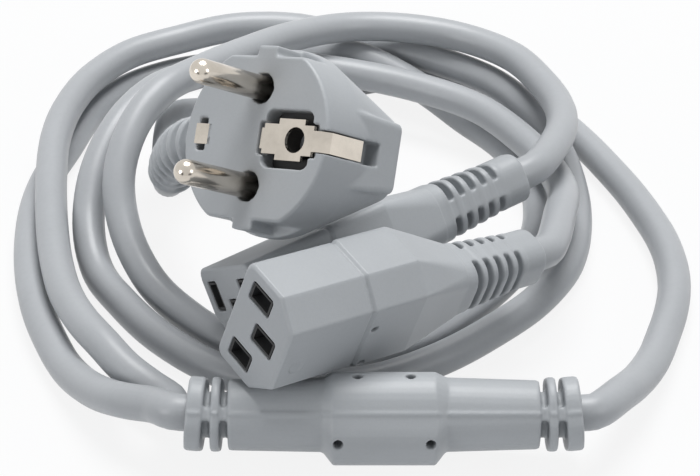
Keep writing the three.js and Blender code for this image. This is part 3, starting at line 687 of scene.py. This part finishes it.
def makeConnector(which):
    c = connector
    pose = poseMatrix(**c[which])
    neck = roundedOutline(c["neckLong"] / 2, c["neckShort"] / 2, c["neckCorner"])
    root = roundedOutline(c["rootSize"] / 2, c["rootSize"] / 2, c["rootCorner"])
    tail = roundedOutline(c["endSize"] / 2, c["endSize"] / 2, c["endCorner"])
    groove = faceOutline(-c["seamDepth"])
    behind = -c["nose"] - c["seam"]
    solids = [
        hull([
            (faceOutline(-c["edge"]), 0), (faceOutline(), -c["edge"]),
            (faceOutline(), -c["nose"] + 0.25), (faceOutline(-0.25), -c["nose"]),
        ]),
        hull([(groove, -c["nose"] + 1), (groove, -c["nose"] - 2)]),
        hull([
            (faceOutline(c["step"] - 0.3), behind), (faceOutline(c["step"]), behind - 0.3),
            (faceOutline(c["step"]), -c["bodyEnd"]), (neck, -c["neck"]),
        ]),
        hull([(neck, -c["neck"] + 1), (root, -c["firstRib"] + 0.6)]),
        hull([(tail, -c["tailFrom"]), (tail, -c["length"] + 0.4), (shrunk(tail, 0.93), -c["length"])]),
    ]
    core = circleOutline(c["reliefCore"] / 2, 40)
    solids.append(slab(core, -c["length"] + 2, -c["neck"]))
    atRoot, atEnd = c["rootSize"] / 2 - c["stripInset"], c["endSize"] / 2 - c["stripInset"]
    strip = slab([
        (atRoot, -c["firstRib"] + 1), (-atRoot, -c["firstRib"] + 1),
        (-atEnd, -c["tailFrom"] - 1), (atEnd, -c["tailFrom"] - 1),
    ], -c["strip"] / 2, c["strip"] / 2)
    solids.append(moved(strip, Matrix.Rotation(math.radians(90), 4, "X")))
    halfway = (c["firstRib"] + c["lastRib"]) / 2
    ribLine = [(0, 0, -c["firstRib"]), (0, 0, -halfway), (0, 0, -c["lastRib"])]
    ribOutline = roundedOutline(0.5, 0.5, 0.36)  # 1 mm across, sized by the rib nodes
    solids.append(ribShapes(ribLine, ribOutline, c["rib"], c["ribs"], c["rootSize"], c["endSize"]))
    cutters = []
    for x, y in c["slots"]:
        w, h = c["slotFrame"][0] / 2, c["slotFrame"][1] / 2
        cutters.append(slab(roundedOutline(w, h, 0.5, 3, centre=(x, y)), -c["slotDepth"], 1))
    sideways = Matrix.Rotation(math.radians(-90), 4, "X")
    for x in c["holeSpots"]:
        w, h = c["markHole"][0] / 2, c["markHole"][1] / 2
        hole = slab(roundedOutline(w, h, 0.45, 4), -c["markDepth"], 2)
        spot = Matrix.Translation((x, c["short"] / 2 - 0.2, -c["nose"] - c["holeBack"]))
        cutters.append(moved(hole, spot @ sideways))
    across, back = c["stud"]["spot"]
    stud = slab(circleOutline(c["stud"]["radius"], 32), -c["stud"]["depth"], 1)
    cutters.append(moved(stud, Matrix.Translation((across, c["short"] / 2, -back)) @ sideways))
    mouth = slab(circleOutline(c["cordHole"], 32), -c["cordHoleDepth"], 1)
    cutters.append(moved(mouth, Matrix.Translation((0, 0, -c["length"]))))
    piece = skin(which + "ConnectorMoulding", solids, cutters, c["voxel"], c["passes"])
    placePiece(piece, pose, "grey_moulding")
    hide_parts(which + "_connector_body")
    return piece, pose


frontPiece, frontPose = makeConnector("front")
rearPiece, rearPose = makeConnector("rear")
print("connectors made")

# Earthed mains plug, face at Z 0 with the pins along Z, cord towards -Y

plug = {
    "pose": {"place": (-25, 33.2, 53.4), "turn": 221, "tilt": 32, "roll": 20},
    "radius": 18.5, "flats": 15.9, "flatDepth": 7.0, "disc": 10.0, "guide": 2.5, "guideReach": 17.9,
    "back": 23.0, "backWidth": 17.0, "backCord": -15.0, "backEnd": 17.5, "backCorner": 5, "backEdge": 0.7,
    "gripReach": 19.8, "gripWidth": 13.8, "gripFront": 8.6, "gripLip": 19.4, "gripHalf": 4,
    "pin": 4.8, "pinLength": 19.0, "pins": 9.5, "pinRoot": 12.0, "recess": 5.9, "recessDepth": 4.6,
    "earthHole": 10.0, "pocketLong": 12.0, "pocketShort": 11.2, "pocketShift": 1.6, "pocketDepth": 5,
    "plate": 5.8, "plateFrom": 0.9, "plateTo": 16, "plateDepth": 1.7,  # room for the earth strip
    "strip": 4.0, "stripFrom": 15, "stripDepth": 15.1, "fit": 0.3,
    "clipFrom": -15.1, "clipTo": -12.9, "clipDepth": 3.8,
    "reliefDepth": 10.5, "reliefRoot": 13.0, "reliefEnd": 10.2, "reliefCore": 8.2,
    "rib": 1.5, "ribs": 9, "firstRib": 6.0, "afterRibs": 0.9,
    "tie": 1.6, "tieInset": 1.75, "pathSteps": 24,
    "cordHole": 3.55,
    "voxel": 0.29, "passes": 2,
}
plugPose = poseMatrix(**plug["pose"])
depth = plug["reliefDepth"]
reliefLine = smoothLine([
    (0, -12, -depth), (0.2, -20, -depth - 0.4), (1.2, -30, -depth - 3),
    (3.4, -39, -depth - 8.4), (5.6, -44.6, -depth - 13.2),
], 0.5)
reliefLength = lineLength(reliefLine)


def makePlugBody():
    p = plug
    rim = circleOutline(p["radius"], 96)
    flatted = [(max(-p["flats"], min(p["flats"], x)), y) for x, y in rim]
    middle = (p["backCord"] + p["backEnd"]) / 2
    reach = (p["backEnd"] - p["backCord"]) / 2
    edge = p["backEdge"]
    back = roundedOutline(p["backWidth"] / 2, reach, p["backCorner"], centre=(0, middle))
    backRim = roundedOutline(
        p["backWidth"] / 2 - edge, reach - edge, p["backCorner"] - 0.5, centre=(0, middle))
    guide = roundedOutline(p["guideReach"], p["guide"], 0.4, 3)

    def gripOutline(inset, half, middle):
        return roundedOutline(p["gripWidth"] / 2 - inset, half, 1, 3, centre=(0, middle))

    reach, half = p["gripReach"], p["gripHalf"]
    solids = [
        hull([(shrunk(flatted, 0.982), 0), (flatted, -0.45), (flatted, -p["flatDepth"])]),
        hull([(guide, -0.02), (guide, -p["flatDepth"] - 0.5)]),
        hull([(rim, -p["flatDepth"]), (rim, -p["disc"])]),
        hull([(rim, -p["disc"] + 0.2), (back, -p["back"] + edge), (backRim, -p["back"])]),
        hull([
            (gripOutline(-1, half, p["radius"] - 5.4), -p["gripFront"]),
            (gripOutline(0, half, reach - half), -p["gripLip"]),
            (gripOutline(0.6, half - 0.4, reach - half - 0.2), -p["gripLip"] - 1),
        ]),
        tubeShape(reliefLine, p["reliefCore"] / 2),
    ]
    start, stop, steps = p["firstRib"], reliefLength - p["afterRibs"], p["pathSteps"]
    path = [alongLine(reliefLine, start + (stop - start) * i / steps) for i in range(steps + 1)]
    ribSpots = [tuple(spot) for spot, ahead in path]
    ribOutline = circleOutline(0.5, 40)  # 1 mm across, sized by the rib nodes
    solids.append(ribShapes(
        ribSpots, ribOutline, p["rib"], p["ribs"], p["reliefRoot"], p["reliefEnd"]))
    # two lengthwise strips tie the ribs together
    for side in (-1, 1):
        tie = []
        for i, (spot, ahead) in enumerate(path):
            across = Vector((1, 0, 0)) - ahead * ahead.x
            wide = p["reliefRoot"] + (p["reliefEnd"] - p["reliefRoot"]) * i / steps
            tie.append(spot + across.normalized() * side * (wide / 2 - p["tieInset"]))
        solids.append(tubeShape(tie, p["tie"], 16))
    plate, strip = p["plate"] / 2 + p["fit"], p["strip"] / 2 + p["fit"]
    pocket = roundedOutline(p["pocketShort"] / 2, p["pocketLong"] / 2, 1.6, 5,
                            centre=(0, p["earthHole"] - p["pocketShift"]))
    cutters = [
        slab(pocket, -p["pocketDepth"], 1),
        block((-plate, p["plateFrom"], -p["plateDepth"]), (plate, p["plateTo"], 1)),
        block((-strip, p["stripFrom"], -p["stripDepth"]), (strip, p["radius"] + 6, 1)),
        block((-plate, p["clipFrom"], -p["clipDepth"]), (plate, p["clipTo"], 1)),
    ]
    for side in (-1, 1):
        recess = circleOutline(p["recess"] / 2, 40, centre=(side * p["pins"], 0))
        cutters.append(slab(recess, -p["recessDepth"], 1))
    spot, ahead = reliefLine[-1], (reliefLine[-1] - reliefLine[-3]).normalized()
    mouth = slab(circleOutline(p["cordHole"], 32), -1, 2)
    turn = ahead.to_track_quat("Z", "Y").to_matrix().to_4x4()
    cutters.append(moved(mouth, Matrix.Translation(spot) @ turn))
    piece = skin("plugMoulding", solids, cutters, p["voxel"], p["passes"])
    placePiece(piece, plugPose, "grey_moulding")
    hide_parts("plug_body")
    return piece


def makePin(name, x):
    p = plug
    radius = p["pin"] / 2
    profile = [(0, -p["pinRoot"]), (radius, -p["pinRoot"])]
    for i in range(13):
        a = math.radians(90 * i / 12)
        profile.append((radius * math.cos(a), p["pinLength"] - radius + radius * math.sin(a)))
    bm = bmesh.new()
    verts = [bm.verts.new((r, 0, z)) for r, z in profile]
    edges = [bm.edges.new(pair) for pair in zip(verts, verts[1:])]
    whole = 2 * math.pi
    bmesh.ops.spin(bm, geom=verts + edges, axis=(0, 0, 1), cent=(0, 0, 0), angle=whole, steps=64)
    bmesh.ops.remove_doubles(bm, verts=bm.verts, dist=0.001)
    bmesh.ops.recalc_face_normals(bm, faces=bm.faces)
    piece = joined("pin_" + name, [moved(bm, Matrix.Translation((x, 0, 0)))])
    placePiece(piece, plugPose, "plated_metal")
    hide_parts("plug_pin_" + name)
    return piece


plugPiece = makePlugBody()
pinPieces = [makePin("live", plug["pins"]), makePin("neutral", -plug["pins"])]
print("plug made")

# Free cords: the routes are the part's own, in metres

cordSetup = {"diameter": 0.007, "step": 0.002, "rings": 8}
exitRuns = {"gap": 0.3, "stub": 2.5, "lead": 5.0}  # straight stretches at a moulding, in millimetres
mainRoute = [
    (0.0456, 0.0101, 0.0096), (0.0499, 0.0183, 0.0068), (0.0540, 0.0277, 0.0048),
    (0.0572, 0.0376, 0.0037), (0.0598, 0.0463, 0.0036), (0.0615, 0.0551, 0.0036),
    (0.0619, 0.0643, 0.0036), (0.0610, 0.0737, 0.0036), (0.0589, 0.0829, 0.0036),
    (0.0560, 0.0929, 0.0036), (0.0520, 0.1037, 0.0036), (0.0473, 0.1149, 0.0036),
    (0.0400, 0.1284, 0.0036), (0.0300, 0.1394, 0.0036), (0.0180, 0.1454, 0.0036),
    (0.0050, 0.1466, 0.0037), (-0.0080, 0.1424, 0.0037), (-0.0202, 0.1350, 0.0037),
    (-0.0310, 0.1254, 0.0075), (-0.0400, 0.1134, 0.0125), (-0.0459, 0.1003, 0.0184),
]
frontRoute = [
    (0.0376, 0.0644, 0.0165), (0.0392, 0.0754, 0.0142), (0.0378, 0.0884, 0.0122),
    (0.0332, 0.1014, 0.0114), (0.0229, 0.1171, 0.0115), (0.0091, 0.1265, 0.0118),
    (-0.0072, 0.1321, 0.0126), (-0.0204, 0.1319, 0.0145), (-0.0330, 0.1260, 0.0176),
    (-0.0430, 0.1159, 0.0208), (-0.0511, 0.1055, 0.0225), (-0.0576, 0.0944, 0.0206),
    (-0.0620, 0.0834, 0.0154), (-0.0630, 0.0725, 0.0088), (-0.0603, 0.0608, 0.0044),
    (-0.0540, 0.0493, 0.0037), (-0.0451, 0.0368, 0.0037), (-0.0329, 0.0260, 0.0036),
    (-0.0186, 0.0203, 0.0037), (-0.0032, 0.0218, 0.0036), (0.0112, 0.0296, 0.0036),
    (0.0228, 0.0397, 0.0036), (0.0325, 0.0506, 0.0036), (0.0396, 0.0637, 0.0036),
    (0.0428, 0.0794, 0.0037), (0.0431, 0.0949, 0.0037), (0.0409, 0.1063, 0.0064),
    (0.0357, 0.1174, 0.0096), (0.0274, 0.1300, 0.0109), (0.0135, 0.1410, 0.0112),
    (-0.0025, 0.1483, 0.0114), (-0.0188, 0.1540, 0.0129), (-0.0347, 0.1541, 0.0130),
    (-0.0483, 0.1508, 0.0114), (-0.0594, 0.1438, 0.0113), (-0.0674, 0.1321, 0.0113),
    (-0.0718, 0.1170, 0.0116), (-0.0732, 0.1035, 0.0113), (-0.0726, 0.0889, 0.0107),
    (-0.0708, 0.0720, 0.0101), (-0.0683, 0.0568, 0.0098), (-0.0651, 0.0444, 0.0097),
    (-0.0608, 0.0345, 0.0099), (-0.0557, 0.0263, 0.0098), (-0.0509, 0.0201, 0.0085),
    (-0.0457, 0.0153, 0.0074), (-0.0416, 0.0110, 0.0074),
]
rearRoute = [
    (0.0378, 0.0845, 0.0218), (0.0401, 0.0948, 0.0202), (0.0402, 0.1055, 0.0188),
    (0.0374, 0.1166, 0.0184), (0.0312, 0.1294, 0.0184), (0.0200, 0.1386, 0.0185),
    (0.0064, 0.1421, 0.0192), (-0.0076, 0.1397, 0.0207), (-0.0205, 0.1302, 0.0232),
    (-0.0304, 0.1178, 0.0260), (-0.0391, 0.1056, 0.0284), (-0.0474, 0.0945, 0.0293),
    (-0.0531, 0.0856, 0.0259), (-0.0561, 0.0751, 0.0191), (-0.0542, 0.0650, 0.0114),
    (-0.0486, 0.0553, 0.0054), (-0.0409, 0.0456, 0.0037), (-0.0306, 0.0356, 0.0036),
    (-0.0185, 0.0308, 0.0037), (-0.0057, 0.0311, 0.0037), (0.0068, 0.0366, 0.0036),
    (0.0180, 0.0474, 0.0036), (0.0269, 0.0598, 0.0036), (0.0330, 0.0728, 0.0037),
    (0.0351, 0.0864, 0.0037), (0.0339, 0.1004, 0.0037), (0.0283, 0.1139, 0.0037),
    (0.0202, 0.1257, 0.0037), (0.0099, 0.1343, 0.0075), (-0.0046, 0.1401, 0.0126),
    (-0.0178, 0.1455, 0.0104), (-0.0290, 0.1496, 0.0059), (-0.0401, 0.1502, 0.0043),
    (-0.0508, 0.1471, 0.0038), (-0.0604, 0.1401, 0.0037), (-0.0680, 0.1276, 0.0037),
    (-0.0720, 0.1120, 0.0037), (-0.0752, 0.0985, 0.0037), (-0.0764, 0.0856, 0.0037),
    (-0.0759, 0.0726, 0.0037), (-0.0743, 0.0599, 0.0036), (-0.0716, 0.0476, 0.0037),
    (-0.0679, 0.0367, 0.0037), (-0.0632, 0.0262, 0.0037), (-0.0569, 0.0155, 0.0064),
    (-0.0501, 0.0070, 0.0103), (-0.0437, 0.0027, 0.0124),
]


def junctionExit(sign, offset, run):
    distance = junction["length"] / 2 - collarPivot + exitRuns["gap"] + run
    return junctionPose @ (collarPoint(sign, distance, offset) * mm)


def connectorExit(pose, run):
    return pose @ Vector((0, 0, -(connector["length"] + exitRuns["gap"] + run) * mm))


def plugExit(run):
    ahead = (reliefLine[-1] - reliefLine[-3]).normalized()
    return plugPose @ ((reliefLine[-1] + ahead * (exitRuns["gap"] + run)) * mm)


def makeCord(name, points, node):
    line = smoothLine(points, cordSetup["step"])
    cord = polyCurve(name, [tuple(p) for p in line])
    cord.data.bevel_depth = cordSetup["diameter"] / 2
    cord.data.bevel_resolution = cordSetup["rings"]
    cord.data.use_fill_caps = True
    cord.data.splines[0].use_smooth = True
    cord.data.materials.append(finishes["grey_sheath"])
    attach(cord, "root")
    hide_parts(node)


lead, stub = exitRuns["lead"], exitRuns["stub"]
apart = junction["spacing"] / 2
exits = {"main": junctionExit(1, 0, 0), "front": junctionExit(-1, apart, 0),
         "rear": junctionExit(-1, -apart, 0)}
makeCord("mainCord",
         [exits["main"], junctionExit(1, 0, stub), *mainRoute, plugExit(lead), plugExit(0)],
         "main_cord")
makeCord("frontBranchCord",
         [connectorExit(frontPose, 0), connectorExit(frontPose, lead), *frontRoute,
          junctionExit(-1, apart, stub), exits["front"]],
         "front_branch_cord")
makeCord("rearBranchCord",
         [connectorExit(rearPose, 0), connectorExit(rearPose, lead), *rearRoute,
          junctionExit(-1, -apart, stub), exits["rear"]],
         "rear_branch_cord")
print("cords laid")

# Floor, background and light

studio = {
    "floor": 2.4, "floorColour": (0.66, 0.67, 0.685), "floorGlow": 0.87,
    "world": 0.26, "worldColour": (0.93, 0.96, 1.0, 1), "aim": (0, 0.06, 0.02),
    "key": {"place": (0.05, 0.34, 0.92), "size": 0.62, "power": 9.4},
    "darkCards": (  # seen only in reflections
        ((-0.85, -0.62, 0.02), (-0.3, -0.6, 0.3)), ((0.25, -0.62, 0.0), (0.75, -0.6, 0.2)),
    ),
    "side": {"place": (0.72, -0.42, 0.42), "size": 0.4, "power": 1.1},
    "fill": {"place": (-0.75, -0.5, 0.34), "size": 0.4, "power": 2.1},
}


def seenDirectly(tree):
    path = tree.nodes.new("ShaderNodeLightPath")
    first = tree.nodes.new("ShaderNodeMath")
    first.operation = "MAXIMUM"
    tree.links.new(path.outputs["Is Camera Ray"], first.inputs[0])
    tree.links.new(path.outputs["Is Glossy Ray"], first.inputs[1])
    second = tree.nodes.new("ShaderNodeMath")
    second.operation = "MAXIMUM"
    tree.links.new(first.outputs[0], second.inputs[0])
    tree.links.new(path.outputs["Is Transmission Ray"], second.inputs[1])
    return second.outputs[0]


def makeFloor():
    bm = bmesh.new()
    bmesh.ops.create_grid(bm, x_segments=1, y_segments=1, size=studio["floor"] / 2)
    floor = joined("floor", [bm])
    material, tree, shader, _ = newMaterial("pale floor")
    shader.inputs["Base Color"].default_value = (*studio["floorColour"], 1)
    shader.inputs["Roughness"].default_value = 0.75
    glow = tree.nodes.new("ShaderNodeEmission")
    mix = tree.nodes.new("ShaderNodeMixShader")
    share = tree.nodes.new("ShaderNodeMath")
    share.operation = "MULTIPLY"
    share.inputs[1].default_value = studio["floorGlow"]
    tree.links.new(seenDirectly(tree), share.inputs[0])
    tree.links.new(share.outputs[0], mix.inputs["Fac"])
    tree.links.new(shader.outputs[0], mix.inputs[1])
    tree.links.new(glow.outputs[0], mix.inputs[2])
    tree.links.new(mix.outputs[0], tree.nodes["Material Output"].inputs["Surface"])
    floor.data.materials.append(material)


def makeWorld():
    world = bpy.data.worlds.new("studio")
    world.use_nodes = True
    tree = world.node_tree
    light = tree.nodes["Background"]
    light.inputs["Color"].default_value = studio["worldColour"]
    light.inputs["Strength"].default_value = studio["world"]
    white = tree.nodes.new("ShaderNodeBackground")
    mix = tree.nodes.new("ShaderNodeMixShader")
    tree.links.new(seenDirectly(tree), mix.inputs["Fac"])
    tree.links.new(light.outputs[0], mix.inputs[1])
    tree.links.new(white.outputs[0], mix.inputs[2])
    tree.links.new(mix.outputs[0], tree.nodes["World Output"].inputs["Surface"])
    scene.world = world


def softBox(name, place, size, power):
    data = bpy.data.lights.new(name, "AREA")
    data.shape = "DISK"
    data.size = size
    data.energy = power
    lamp = bpy.data.objects.new(name, data)
    lamp.location = place
    towards = Vector(studio["aim"]) - Vector(place)
    lamp.rotation_euler = towards.to_track_quat("-Z", "Y").to_euler()
    scene.collection.objects.link(lamp)


def darkCard(name, low, high):
    card = joined(name, [block(low, high)])
    material, tree, shader, _ = newMaterial(name)
    shader.inputs["Base Color"].default_value = (0.012, 0.012, 0.014, 1)
    shader.inputs["Roughness"].default_value = 0.9
    card.data.materials.append(material)
    card.visible_camera = False
    card.visible_diffuse = False
    card.visible_shadow = False


makeFloor()
makeWorld()
for index, (low, high) in enumerate(studio["darkCards"]):
    darkCard("darkCard" + str(index), low, high)
softBox("key", **studio["key"])
softBox("side", **studio["side"])
softBox("fill", **studio["fill"])
scene.view_settings.view_transform = "Standard"
print("studio set")
